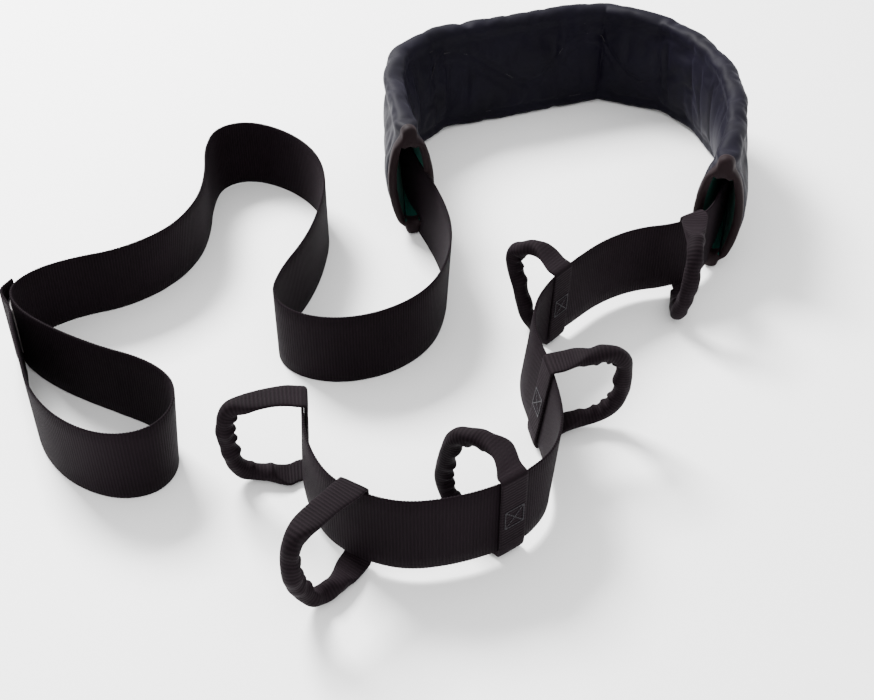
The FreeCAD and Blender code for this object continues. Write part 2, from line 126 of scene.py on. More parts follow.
# ------------------------------------------------------------------ curves and meshes
def spline(points, first, last, per_span, shares):
    """A smooth line under the given points: places, the point number that each
    lies at, stations, and the stations of points first and last.
    A corner with a small share stays sharp, one of 0.5 is fully rounded."""
    places, numbers = [], []
    count = len(points)
    for k in range(count - 2):
        before, corner, after = points[k], points[k + 1], points[k + 2]
        share = shares[k + 1]
        start = before if k == 0 else (before + corner) / 2
        end = after if k == count - 3 else (corner + after) / 2
        bend_in = corner + (before - corner) * share
        bend_out = corner + (after - corner) * share
        n0 = 0.0 if k == 0 else k + 0.5
        n3 = count - 1.0 if k == count - 3 else k + 1.5
        n1, n2 = k + 1 - share, k + 1 + share
        if k > 0 or share < 0.499:
            for i in range(per_span // 2):
                t = i / (per_span // 2)
                places.append(start + (bend_in - start) * t)
                numbers.append(n0 + (n1 - n0) * t)
        for i in range(per_span):
            t = i / per_span
            places.append((1 - t) ** 2 * bend_in + 2 * t * (1 - t) * corner + t * t * bend_out)
            numbers.append(n1 + (n2 - n1) * t)
        for i in range(per_span // 2):
            t = i / (per_span // 2)
            places.append(bend_out + (end - bend_out) * t)
            numbers.append(n2 + (n3 - n2) * t)
    places.append(points[-1])
    numbers.append(count - 1.0)
    places, numbers = np.array(places), np.array(numbers)
    steps = np.linalg.norm(np.diff(places, axis=0), axis=1)
    keep = np.concatenate([[True], steps > 1e-6])
    places, numbers = places[keep], numbers[keep]
    station = np.concatenate([[0.0], np.cumsum(np.linalg.norm(np.diff(places, axis=0), axis=1))])
    ends = [np.interp(value, numbers, station) for value in (first, last)]
    return places, numbers, station, ends


def evenly(line, pitch):
    """The line's places a pitch apart, with headings, point numbers and stations."""
    places, numbers, station, (low, high) = line
    count = max(2, int(round((high - low) / pitch)))
    new = np.linspace(low, high, count + 1)
    reach = 2.0
    place = [np.interp(new, station, column) for column in places.T]
    ahead = [np.interp(np.minimum(new + reach, station[-1]), station, c) for c in places.T]
    behind = [np.interp(np.maximum(new - reach, 0.0), station, c) for c in places.T]
    ways = np.array(ahead).T - np.array(behind).T
    ways /= np.linalg.norm(ways, axis=1)[:, None]
    return np.array(place).T, ways, np.interp(new, station, numbers), new - low


def left_of(ways):
    return np.stack([-ways[:, 1], ways[:, 0]], axis=1)


def keyed(table, numbers):
    table = np.array(table, float)
    return np.interp(numbers, table[:, 0], table[:, 1])


def smooth(x):
    x = np.clip(x, 0.0, 1.0)
    return x * x * (3 - 2 * x)


def wobble(x, seed):
    """A smooth irregular line between about -1 and 1, the same each time."""
    total = np.zeros_like(x)
    for k, (pitch, size) in enumerate(((1.0, 0.5), (2.3, 0.3), (4.1, 0.2))):
        total += size * np.sin(x * pitch + seed * 1.7 + k * 2.1 + 1.3 * np.sin(x * 0.37 + seed))
    return total


def skin(name, rings, uvs, closed=False):
    """A mesh over rings of points (rings x around x 3, mm), with a UV map that
    holds each point's station and its place around, in metres."""
    count, around = rings.shape[:2]
    vertices = (rings.reshape(-1, 3) * MM).tolist()
    faces, face_uvs = [], []
    last = count if closed else count - 1
    for i in range(last):
        j = (i + 1) % count
        for k in range(around):
            m = (k + 1) % around
            faces.append((i * around + k, i * around + m, j * around + m, j * around + k))
            u0, u1 = uvs[0][i], uvs[0][i + 1]
            v0, v1 = uvs[1][k], uvs[1][k + 1]
            face_uvs += [(u0, v0), (u0, v1), (u1, v1), (u1, v0)]
    if not closed:
        faces.append(tuple(range(around - 1, -1, -1)))
        faces.append(tuple((count - 1) * around + k for k in range(around)))
        face_uvs += [(uvs[0][0], uvs[1][k]) for k in range(around - 1, -1, -1)]
        face_uvs += [(uvs[0][-1], uvs[1][k]) for k in range(around)]
    mesh = bpy.data.meshes.new(name)
    mesh.from_pydata(vertices, [], faces)
    layer = mesh.uv_layers.new(name="UVMap")
    layer.data.foreach_set("uv", (np.array(face_uvs) * MM).astype(np.float32).ravel())
    work = bmesh.new()
    work.from_mesh(mesh)
    bmesh.ops.recalc_face_normals(work, faces=work.faces)
    work.to_mesh(mesh)
    work.free()
    mesh.polygons.foreach_set("use_smooth", [True] * len(mesh.polygons))
    obj = bpy.data.objects.new(name, mesh)
    bpy.context.scene.collection.objects.link(obj)
    return obj


# ------------------------------------------------------------------ materials
def new_material(name):
    material = bpy.data.materials.new(name)
    material.use_nodes = True
    nodes = material.node_tree.nodes
    return material, nodes, material.node_tree.links, nodes["Principled BSDF"]


def maths(nodes, links, operation, a, b=None):
    node = nodes.new("ShaderNodeMath")
    node.operation = operation
    for socket, value in zip(node.inputs, (a, b)):
        if value is None:
            continue
        if hasattr(value, "links") or hasattr(value, "is_linked"):
            links.new(value, socket)
        else:
            socket.default_value = value
    return node.outputs[0]


def webbing_material(name, dark, light, rib, across, sheen):
    """Woven webbing: cross ribs along its length, fine warp threads across it,
    lint and slight colour changes."""
    material, nodes, links, shader = new_material(name)
    uv = nodes.new("ShaderNodeUVMap")
    uv.uv_map = "UVMap"
    split = nodes.new("ShaderNodeSeparateXYZ")
    links.new(uv.outputs[0], split.inputs[0])
    along = maths(nodes, links, "MULTIPLY", split.outputs[0], 2 * math.pi / (rib * MM))
    rib_wave = maths(nodes, links, "SINE", along)
    warp = maths(nodes, links, "MULTIPLY", split.outputs[1], 2 * math.pi / (across * MM))
    warp_wave = maths(nodes, links, "SINE", warp)
    twill = maths(nodes, links, "MULTIPLY", rib_wave, warp_wave)
    grain = nodes.new("ShaderNodeTexNoise")
    grain.inputs["Scale"].default_value = 900.0
    grain.inputs["Detail"].default_value = 3.0
    coordinates = nodes.new("ShaderNodeTexCoord")
    links.new(coordinates.outputs["Object"], grain.inputs["Vector"])
    patch = nodes.new("ShaderNodeTexNoise")
    patch.inputs["Scale"].default_value = 16.0
    patch.inputs["Detail"].default_value = 4.0
    links.new(coordinates.outputs["Object"], patch.inputs["Vector"])
    height = maths(nodes, links, "ADD", maths(nodes, links, "MULTIPLY", rib_wave, 0.6),
                   maths(nodes, links, "MULTIPLY", twill, 0.35))
    height = maths(nodes, links, "ADD", height,
                   maths(nodes, links, "MULTIPLY", grain.outputs[0], 0.8))
    bump = nodes.new("ShaderNodeBump")
    bump.inputs["Strength"].default_value = 0.55
    bump.inputs["Distance"].default_value = 0.00025
    links.new(height, bump.inputs["Height"])
    links.new(bump.outputs[0], shader.inputs["Normal"])
    mix = maths(nodes, links, "ADD", maths(nodes, links, "MULTIPLY", rib_wave, 0.16),
                maths(nodes, links, "MULTIPLY", patch.outputs[0], 0.7))
    ramp = nodes.new("ShaderNodeValToRGB")
    ramp.color_ramp.elements[0].position = 0.15
    ramp.color_ramp.elements[0].color = (*dark, 1)
    ramp.color_ramp.elements[1].position = 0.75
    ramp.color_ramp.elements[1].color = (*light, 1)
    links.new(mix, ramp.inputs[0])
    links.new(ramp.outputs[0], shader.inputs["Base Color"])
    rough = maths(nodes, links, "ADD", maths(nodes, links, "MULTIPLY", grain.outputs[0], 0.2), 0.68)
    links.new(rough, shader.inputs["Roughness"])
    shader.inputs["Specular IOR Level"].default_value = 0.05
    shader.inputs["Sheen Weight"].default_value = sheen
    shader.inputs["Sheen Roughness"].default_value = 0.45
    shader.inputs["Sheen Tint"].default_value = (0.55, 0.45, 0.52, 1)
    return material


def cloth_material(name, dark, light, weave, roughness, sheen, tint, specular):
    """Close woven cloth: a fine weave on the object's own space, with soft
    colour changes and a little gloss along the threads."""
    material, nodes, links, shader = new_material(name)
    coordinates = nodes.new("ShaderNodeTexCoord")
    thread = nodes.new("ShaderNodeTexNoise")
    thread.inputs["Scale"].default_value = 1.0 / (weave * MM)
    thread.inputs["Detail"].default_value = 2.0
    links.new(coordinates.outputs["Object"], thread.inputs["Vector"])
    patch = nodes.new("ShaderNodeTexNoise")
    patch.inputs["Scale"].default_value = 22.0
    patch.inputs["Detail"].default_value = 5.0
    links.new(coordinates.outputs["Object"], patch.inputs["Vector"])
    ramp = nodes.new("ShaderNodeValToRGB")
    ramp.color_ramp.elements[0].position = 0.3
    ramp.color_ramp.elements[0].color = (*dark, 1)
    ramp.color_ramp.elements[1].position = 0.7
    ramp.color_ramp.elements[1].color = (*light, 1)
    mix = maths(nodes, links, "ADD", maths(nodes, links, "MULTIPLY", thread.outputs[0], 0.4),
                maths(nodes, links, "MULTIPLY", patch.outputs[0], 0.6))
    links.new(mix, ramp.inputs[0])
    links.new(ramp.outputs[0], shader.inputs["Base Color"])
    bump = nodes.new("ShaderNodeBump")
    bump.inputs["Strength"].default_value = 0.35
    bump.inputs["Distance"].default_value = 0.0003
    links.new(thread.outputs[0], bump.inputs["Height"])
    links.new(bump.outputs[0], shader.inputs["Normal"])
    rough = maths(nodes, links, "ADD",
                  maths(nodes, links, "MULTIPLY", patch.outputs[0], 0.15), roughness - 0.07)
    links.new(rough, shader.inputs["Roughness"])
    shader.inputs["Specular IOR Level"].default_value = specular
    shader.inputs["Sheen Weight"].default_value = sheen
    shader.inputs["Sheen Roughness"].default_value = 0.4
    shader.inputs["Sheen Tint"].default_value = (*tint, 1)
    return material


STRAP_FINISH = webbing_material("strap webbing", (0.002, 0.0008, 0.0015), (0.0065, 0.0035, 0.0055),
                                STRAP_RIB, 1.1, 0.02)
HANDLE_FINISH = webbing_material("handle webbing", (0.0025, 0.0012, 0.002), (0.009, 0.0055, 0.0075),
                                 WEBBING_RIB, 1.3, 0.035)
COVER_FINISH = cloth_material("sleeve cover", (0.0012, 0.0008, 0.0025), (0.0038, 0.003, 0.0075),
                              0.7, 0.6, 0.02, (0.45, 0.42, 0.65), 0.07)
LINING_FINISH = cloth_material("green lining", (0.0, 0.025, 0.018), (0.002, 0.05, 0.038),
                               0.8, 0.7, 0.03, (0.4, 0.7, 0.6), 0.15)
BINDING_FINISH = cloth_material("binding tape", (0.003, 0.001, 0.0015), (0.008, 0.003, 0.004),
                                1.0, 0.7, 0.03, (0.7, 0.5, 0.55), 0.1)
THREAD_FINISH = cloth_material("thread", (0.005, 0.004, 0.006), (0.014, 0.012, 0.016),
                               0.4, 0.55, 0.04, (0.6, 0.6, 0.65), 0.2)
# Hook tape: its pale grey is partly the tape's own colour and partly painted sheen, the light
# glancing off its plastic hooks.
HOOK_TAPE_AND_SHEEN = cloth_material("hook tape", (0.12, 0.11, 0.11), (0.26, 0.24, 0.24),
                             1.2, 0.45, 0.0, (1, 1, 1), 0.5)
LOOP_FINISH = cloth_material("loop tape", (0.012, 0.01, 0.012), (0.04, 0.035, 0.04),
                             1.4, 0.9, 0.3, (0.6, 0.6, 0.65), 0.2)
CORE_FINISH = cloth_material("grip core", (0.2, 0.19, 0.17), (0.4, 0.38, 0.35),
                             1.5, 0.9, 0.1, (1, 1, 1), 0.2)


# ------------------------------------------------------------------ strap
def strap_section(rows):
    """The strap's section as (across in half thicknesses, height share)."""
    up = [(-1.0, y) for y in np.linspace(0.012, 0.988, rows)]
    down = [(1.0, y) for y in np.linspace(0.988, 0.012, rows)]
    return np.array(up + [(-0.55, 1.0), (0.55, 1.0)] + down + [(0.55, 0.0), (-0.55, 0.0)])


def strap_piece(name, line, lift, lean):
    """Webbing along a line, standing on its edge, with cross ribs and the
    toothed edges that they leave."""
    places, ways, numbers, stations = line
    across = left_of(ways)
    section = strap_section(7)
    ribs = np.sin(stations * 2 * math.pi / STRAP_RIB)
    rings = np.zeros((len(places), len(section), 3))
    for k, (side, share) in enumerate(section):
        thick = STRAP_HALF * side * (1 + 0.06 * ribs)
        lean_here = lean * (share - 0.5)
        tooth = 0.32 * ribs * (1 if share > 0.985 else -1 if share < 0.015 else 0)
        rings[:, k, :2] = places + across * (thick + lean_here)[:, None]
        rings[:, k, 2] = np.maximum(lift + share * STRAP_WIDTH + tooth, 0.05)
    spread = np.concatenate([section[:, 1] * STRAP_WIDTH, [0.0]])
    return skin(name, rings, (np.append(stations, stations[-1]), spread))


def route_line(first, last, pitch):
    return evenly(spline(ROUTE, first, last, 24, ROUTE_SHARES), pitch)


rib_step = STRAP_RIB / 3
strap_line = route_line(0.0, PEEL_RUN + 0.5, rib_step)
strap = strap_piece("strap", strap_line, keyed(LIFT, strap_line[2]), keyed(LEAN, strap_line[2]))
strap.data.materials.append(STRAP_FINISH)
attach(strap, "belt")
strap_nodes = [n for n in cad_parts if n.startswith("strap_") and n != "strap_tail_flap"]
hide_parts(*strap_nodes)

# ------------------------------------------------------------------ the stuck tail end
FOLD = FIRST_TAIL + 24
TAPES = 4.6                              # strap, hook tape and loop tape, face to face
TAPE_LOW, TAPE_HIGH = 12.5, 62.5
TAIL_CORNER_SHARE = 0.45


def tail_end_route():
    """Plan points of the strap's end, from the peel line round the fold."""
    outside = []
    for k in (FOLD + 1.5, FOLD + 1.0, FOLD + 0.5):
        low = int(math.floor(k))
        spot = ROUTE[low] + (ROUTE[min(low + 1, len(ROUTE) - 1)] - ROUTE[low]) * (k - low)
        before, after = ROUTE[int(math.ceil(k)) - 1], ROUTE[int(math.floor(k)) + 1]
        way = (after - before) / np.linalg.norm(after - before)
        outside.append(spot + np.array([way[1], -way[0]]) * TAPES)
    pivot = (ROUTE[PEEL_RUN] + ROUTE[PEEL_RUN + 1]) / 2
    corner = outside[1] + (outside[1] - (outside[0] + outside[2]) / 2) * 0.16
    return np.array([pivot, ROUTE[-1], outside[0], corner, outside[2]])


end_points = tail_end_route()
end_line = evenly(spline(end_points, 0.0, len(end_points) - 1.0, 24,
                         np.full(len(end_points), TAIL_CORNER_SHARE)), rib_step)
tail_end = strap_piece("tail_end", end_line, 0.0, 0.0 * end_line[3])
tail_end.data.materials.append(STRAP_FINISH)
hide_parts("strap_tail_flap")
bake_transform(tail_end)


def tape_strip(name, node, near, far, finish, body):
    """Tape on the outside of the fold, between two distances from the
    strap's middle."""
    low, high = TAPE_LOW, TAPE_HIGH
    line = route_line(FOLD + 0.5, FOLD + 1.5, 3.0)
    places, ways, _, stations = line
    outward = -left_of(ways)
    rings = np.zeros((len(places), 8, 3))
    for k, (out, up) in enumerate(((near, low), (near, (low + high) / 2), (near, high),
                                   ((near + far) / 2, high), (far, high),
                                   (far, (low + high) / 2), (far, low),
                                   ((near + far) / 2, low))):
        rings[:, k, :2] = places + outward * out
        rings[:, k, 2] = up
    tape = skin(name, rings, (np.append(stations, stations[-1]), np.arange(9) * 14.0))
    tape.data.materials.append(finish)
    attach(tape, body)
    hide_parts(node)


tape_strip("fold_hook_tape", "tail_hook_tape", 1.1, 2.1, HOOK_TAPE_AND_SHEEN, "belt")
tape_strip("fold_loop_tape", "tail_loop_tape", 2.5, 3.5, LOOP_FINISH, "tail_end")


# ------------------------------------------------------------------ handles
SECTION = 28                             # points round the webbing
GRIP_HALF_WIDE, GRIP_HALF_DEEP = 7.8, 7.0
GRIP_CORE = 4.0
GATHER = 3.0                             # depth of the gathers inside the grip
BAND_SPOT = -2.9                         # the sewn part's middle, behind the strap's middle

# Each loop's path from the strap's upper edge, round its far side, to the lower
# edge: out from the strap, up, how far it is rolled (0 flat, 1 a full roll), and
# the shift along the strap.
LOOPS = {
    1: [(16, 88, 0, -1), (30, 88, 0.4, -3), (46, 87, 1, -5), (61, 84, 1, -7), (69, 69, 1, -9),
        (71, 49, 1, -11), (70, 30, 1, -14), (61, 13, 1, -15), (45, 9, 1, -13), (30, 7, 0.5, -8),
        (16, 4, 0, -3)],
    2: [(12, 88, 0, 4), (22, 90, 0.4, 8), (32, 90, 0.9, 8), (42, 88, 1, 4), (52, 82, 1, 3),
        (54, 71, 1, 3), (51, 57, 1, 3), (44, 44, 1, 3), (41, 28, 1, 3), (35, 14, 1, 3),
        (25, 9, 0.7, 2), (14, 5, 0, 1)],
    3: [(14, 88, 0, 2), (25, 88, 0.3, 5), (41, 89, 1, 3), (56, 90, 1, 4), (68, 82, 1, 6),
        (71, 68, 1, 8), (72, 50, 1, 9), (69, 31, 1, 11), (58, 16, 1, 12), (42, 12, 1, 12),
        (25, 11, 0.3, 9), (13, 7, 0, 4)],
    4: [(12, 89, 0, 8), (23, 90, 0.2, 15), (37, 88, 0.9, 14), (53, 88, 1, 9), (64, 81, 1, 8),
        (69, 67, 1, 8), (74, 48, 1, 8), (77, 28, 1, 8), (70, 12, 1, 7), (54, 8.5, 1, 5),
        (36, 8, 0.7, 3), (18, 4, 0, 0)],
    5: [(12, 88, 0, 1), (27, 87.5, 0, 0), (43, 86.5, 0.1, 0), (58, 85, 0.6, 0),
        (66, 77, 1, 1), (70, 64, 1, 2), (71, 49, 1, 3), (67, 34, 1, 3), (60, 19, 1, 4),
        (50, 9, 1, 6), (39, 8.5, 1, 9), (27, 8, 0.7, 8), (15, 6, 0, 4)],
    6: [(12, 88, 0, -2), (27, 88.5, 0, -1), (44, 87, 0.5, 2), (57, 84, 1, 2), (61.5, 72, 1, 2),
        (63, 56, 1, 1), (62, 40, 1, 1), (58, 21, 1, 0), (48, 9, 1, 0), (36, 8.5, 1, 2),
        (24, 7, 0.6, 4), (12, 4.5, 0, 5)],
}


def loop_points(number):
    sewn = [(BAND_SPOT, 30, 0, 0), (BAND_SPOT, 56, 0, 0), (BAND_SPOT, 80, 0, 0),
            (-3.2, 86.8, 0, 0), (5, 87.5, 0, 0)]
    return np.array(sewn + LOOPS[number] + [(4, 3.8, 0, 0), (-3.2, 4.2, 0, 0)], float)


def closed_spline(points, pitch):
    """A closed smooth line under the points, a pitch apart; with columns of
    its own for anything else that the points carry."""
    count = len(points)
    rows = []
    for k in range(count):
        before, corner, after = points[k - 1], points[k], points[(k + 1) % count]
        start, end = (before + corner) / 2, (corner + after) / 2
        for i in range(16):
            t = i / 16
            rows.append((1 - t) ** 2 * start + 2 * t * (1 - t) * corner + t * t * end)
    rows.append(rows[0])
    rows = np.array(rows)
    steps = np.linalg.norm(np.diff(rows[:, :2], axis=0), axis=1)
    station = np.concatenate([[0.0], np.cumsum(steps)])
    number = int(round(station[-1] / pitch))
    new = np.linspace(0.0, station[-1], number + 1)
    return np.array([np.interp(new, station, column) for column in rows.T]).T, new


def handle_frame(number):
    run, share, side, yaw = HANDLES[number]
    a, b = ROUTE[run], ROUTE[run + 1]
    along = (b - a) / np.linalg.norm(b - a)
    outward = side * np.array([-along[1], along[0]])
    spot = a + (b - a) * share
    tilt = side * float(keyed(LEAN, np.array([run + share]))[0])
    return spot, along, outward, tilt, math.radians(yaw)


def handle_point(place, out, wide, up):
    """A point of a handle: out from the strap, along it and up."""
    spot, along, outward, tilt, yaw = place
    turn = yaw * smooth((out + 1.5) / 14.0)
    lean = tilt * ((up - HANDLE_LIFT) / STRAP_WIDTH - 0.5) * (1 - smooth((out - 4.0) / 40.0))
    cos, sin = np.cos(turn), np.sin(turn)
    flat_out = outward[None, :] * (out + lean)[:, None] + along[None, :] * wide[:, None]
    x = flat_out[:, 0] * cos - flat_out[:, 1] * sin
    y = flat_out[:, 0] * sin + flat_out[:, 1] * cos
    return np.stack([spot[0] + x, spot[1] + y, up], axis=1)


def roll_profile(count):
    """Angles round the webbing's section, clear of its corners."""
    return np.linspace(0.0, 2 * math.pi, count, endpoint=False) + math.pi / count


def handle_loop(number):
    """One length of webbing: sewn flat behind the strap, folded over both its
    edges, and rolled and gathered into a grip round the far side."""
    place = handle_frame(number)
    points = loop_points(number)
    path, stations = closed_spline(points, WEBBING_RIB / 4)
    path, stations = path[:-1], stations[:-1]
    whole = stations[-1] + stations[1]
    ahead = np.roll(path[:, :2], -2, axis=0) - np.roll(path[:, :2], 2, axis=0)
    ahead /= np.linalg.norm(ahead, axis=1)[:, None]
    normal = np.stack([-ahead[:, 1], ahead[:, 0]], axis=1)
    rolled = smooth(path[:, 2])
    ribs_in_loop = round(whole / WEBBING_RIB)
    rib = np.abs(np.sin(stations / whole * ribs_in_loop * math.pi)) - 0.6
    gather = 0.5 + 0.5 * np.sin(stations * 2 * math.pi / 18.0
                                + 2.4 * np.sin(stations / 14.0 + number * 1.3))
    gather = rolled * gather ** 2
    sway = wobble(stations / 9.0, number)
    half_wide = WEBBING_HALF * (1 - rolled) + (GRIP_HALF_WIDE + 0.6 * sway) * rolled
    half_wide -= 1.2 * (1 - rolled) * smooth((path[:, 0] - 6) / 20.0)
    half_thick = WEBBING_THICK / 2 * (1 - rolled) + (GRIP_HALF_DEEP - 0.5 * sway) * rolled
    squareness = 5.0 * (1 - rolled) + 2.0 * rolled
    rings = np.zeros((len(path), SECTION, 3))
    for k, angle in enumerate(roll_profile(SECTION)):
        c, d = math.cos(angle), math.sin(angle)
        wide = half_wide * np.sign(c) * np.abs(c) ** (2 / squareness)
        deep = half_thick * np.sign(d) * np.abs(d) ** (2 / squareness)
        raised = 0.42 * rib * (1 - 0.8 * rolled) * abs(d) ** 0.5
        inner = max(0.0, -d)
        deep = deep + np.sign(d) * raised
        deep = deep - inner ** 1.5 * GATHER * gather + max(0.0, d) * 1.3 * sway * rolled
        pleat = rolled * 0.5 * np.sin(3 * angle + stations / 5.5 + number)
        wide = wide + pleat * c + 0.9 * rolled * sway
        crown = 0.5 * (1 - rolled) * (1 - c * c) * smooth((path[:, 0] - 4) / 12.0)
        out = path[:, 0] + normal[:, 0] * (deep + crown)
        up = path[:, 1] + normal[:, 1] * (deep + crown)
        rings[:, k] = handle_point(place, out, wide + path[:, 3], np.maximum(up, 0.15))
    girth = np.linspace(0.0, 2 * (WEBBING_HALF * 2 + WEBBING_THICK), SECTION + 1)
    loop = skin("handle_%d_webbing" % number, rings, (np.append(stations, whole), girth),
                closed=True)
    loop.data.materials.append(HANDLE_FINISH)
    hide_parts("handle_%d_band" % number, "handle_%d_grip" % number)
    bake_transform(loop)

    inside = (path[:, 2] > 0.97) & (path[:, 0] > 0.66 * path[:, 0].max())
    core_path = path[inside]
    core = np.zeros((len(core_path[::4]), 10, 3))
    for k in range(10):
        angle = 2 * math.pi * k / 10
        wide = GRIP_CORE * math.cos(angle) + core_path[::4, 3]
        deep = GRIP_CORE * math.sin(angle)
        core[:, k] = handle_point(place, core_path[::4, 0] + normal[inside][::4, 0] * deep,
                                  wide, core_path[::4, 1] + normal[inside][::4, 1] * deep)
    steps = np.arange(len(core) + 1) * WEBBING_RIB
    cord = skin("handle_%d_cord" % number, core, (steps, np.arange(11) * 2.5))
    cord.data.materials.append(CORE_FINISH)
    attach(cord, "handle_%d" % number)
    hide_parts("handle_%d_core" % number)
    return place


def stitch_row(stitches, start, end, length, gap):
    """Adds the middles and headings of stitches along a straight row."""
    start, end = np.array(start, float), np.array(end, float)
    whole = np.linalg.norm(end - start)
    count = max(1, int(round((whole + gap) / (length + gap))))
    way = (end - start) / whole
    for i in range(count):
        stitches.append((start + way * (i + 0.5) * whole / count, way))


def stitch_mesh(name, corners):
    """A mesh of small blocks; corners is blocks x 8 x 3, in mm."""
    corners = np.array(corners)
    quads = [(0, 1, 3, 2), (4, 6, 7, 5), (0, 4, 5, 1), (2, 3, 7, 6), (0, 2, 6, 4), (1, 5, 7, 3)]
    faces = [tuple(i * 8 + c for c in quad) for i in range(len(corners)) for quad in quads]
    mesh = bpy.data.meshes.new(name)
    mesh.from_pydata((corners.reshape(-1, 3) * MM).tolist(), [], faces)
    work = bmesh.new()
    work.from_mesh(mesh)
    bmesh.ops.recalc_face_normals(work, faces=work.faces)
    work.to_mesh(mesh)
    work.free()
    obj = bpy.data.objects.new(name, mesh)
    bpy.context.scene.collection.objects.link(obj)
    obj.data.materials.append(THREAD_FINISH)
    return obj


def box_stitching(number, place):
    half, middle = 9.0, HANDLE_LIFT + STRAP_WIDTH / 2
    box = [(-half, middle - half), (half, middle - half), (half, middle + half),
           (-half, middle + half)]
    rows = []
    for a, b in ((0, 1), (1, 2), (2, 3), (3, 0), (0, 2), (1, 3)):
        stitch_row(rows, box[a], box[b], 2.4, 0.9)
    blocks = []
    back = BAND_SPOT - WEBBING_THICK / 2 - 0.25
    for centre, way in rows:
        side = np.array([-way[1], way[0]])
        block = []
        for u in (-1.2, 1.2):
            for v in (-0.4, 0.4):
                for w in (-0.35, 0.3):
                    spot = centre + way * u + side * v
                    block.append(handle_point(place, np.array([back + w]),
                                              np.array([spot[0]]), np.array([spot[1]]))[0])
        blocks.append(block)
    stitches = stitch_mesh("handle_%d_stitches" % number, blocks)
    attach(stitches, "belt")
    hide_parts("handle_%d_stitching" % number)


for handle_number in HANDLES:
    box_stitching(handle_number, handle_loop(handle_number))


def tail_stitching():
    """Two upright rows through the tail end, where the loop tape is sewn on."""
    places, ways, _, stations = end_line
    blocks = []
    for station in (stations[-1] - 6.0, stations[-1] - 48.0):
        spot = np.array([np.interp(station, stations, column) for column in places.T])
        way = np.array([np.interp(station, stations, column) for column in ways.T])
        outward = np.array([-way[1], way[0]])
        for low in np.arange(TAPE_LOW, TAPE_HIGH - 1.5, 3.4):
            blocks.append([(*(spot + way * u + outward * v), low + w)
                           for u in (-0.4, 0.4) for v in (0.9, 1.5) for w in (0.0, 2.4)])
    stitches = stitch_mesh("tail_end_stitches", blocks)
    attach(stitches, "tail_end")
    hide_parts("tail_end_stitching")


tail_stitching()


# ------------------------------------------------------------------ sleeve
WALL_LOW, WALL_HIGH = 14.5, 107.5        # the two long seams
WALL_ROWS, ROLL_ROWS = 22, 9
SLEEVE_PITCH = 4.2
PASSAGE_HALF = 7.5                       # half the width of the strap's passage
PAD_DEPTH = 8.2                          # wall, from its outside to its lining
LINING_DEPTHS = (8.5, 9.5)
MOUTH_REACH = 120.0                      # length over which each mouth opens out
TOP_ROLL, BOTTOM_ROLL = (11.2, 9.3, 117.0), (10.6, 7.2, 7.4)   # half width, half height, middle
MOST_SWELL = 3.6
WAVE = [                                 # the quilting line: station and height
    (322, 59), (337, 45), (352, 40), (365, 45), (377, 55), (402, 84), (414, 92), (427, 95),
    (440, 94), (453, 89), (469, 69), (478, 56), (490, 48), (502, 45), (514, 48), (530, 60),
    (548, 73), (572, 90), (595, 97), (610, 98), (625, 93), (634, 80), (640, 62),
]
CREASES = [(205, 0.6), (240, 0.8), (265, 0.8), (313, 1.0), (407, 1.0), (463, 0.8),
           (580, 0.9), (606, 0.7), (631, 1.0), (659, 0.8)]


def sleeve_section():
    """The wall's shape as (side, height, kind): kind 0 a wall, 1 the top roll,
    2 the bottom roll; side is -1 away from the wearer and +1 towards them."""
    rows = []
    for z in np.linspace(WALL_LOW, WALL_HIGH, WALL_ROWS):
        rows.append((-1.0, z, 0))
    for angle in np.linspace(228, -48, ROLL_ROWS + 2)[1:-1]:
        rows.append((math.cos(math.radians(angle)), math.sin(math.radians(angle)), 1))
    for z in np.linspace(WALL_HIGH, WALL_LOW, WALL_ROWS):
        rows.append((1.0, z, 0))
    for angle in np.linspace(48, -228, ROLL_ROWS + 2)[1:-1]:
        rows.append((math.cos(math.radians(angle)), math.sin(math.radians(angle)), 2))
    return rows


def sleeve_spread(stations, whole):
    """How far each wall stands out from the flat tube, near the mouths."""
    right = np.clip(1 - stations / MOUTH_REACH, 0, 1) ** 1.6
    left = np.clip(1 - (whole - stations) / MOUTH_REACH, 0, 1) ** 1.6
    return 14.0 * right + 13.0 * left


def mouth_shape(z):
    """A mouth is widest at half its height and closed at its top and bottom."""
    return np.sin(np.clip(z / SLEEVE_HEIGHT, 0, 1) * math.pi) ** 0.8


def place_sleeve(line, sideways, up):
    """Points beside the sleeve's route, leaning as it does."""
    places, ways, numbers, _ = line
    lean = keyed(SLEEVE_LEAN, numbers) * (up / SLEEVE_HEIGHT - 0.5)
    flat = places + left_of(ways) * (sideways + lean)[:, None]
    return np.stack([flat[:, 0], flat[:, 1], up], axis=1)


sleeve_line = evenly(spline(SLEEVE_ROUTE, 0.0, len(SLEEVE_ROUTE) - 1.0, 24, SLEEVE_SHARES),
                     SLEEVE_PITCH)
sleeve_stations = sleeve_line[3]
sleeve_length = float(sleeve_stations[-1])
spread = sleeve_spread(sleeve_stations, sleeve_length)
section_rows = sleeve_section()


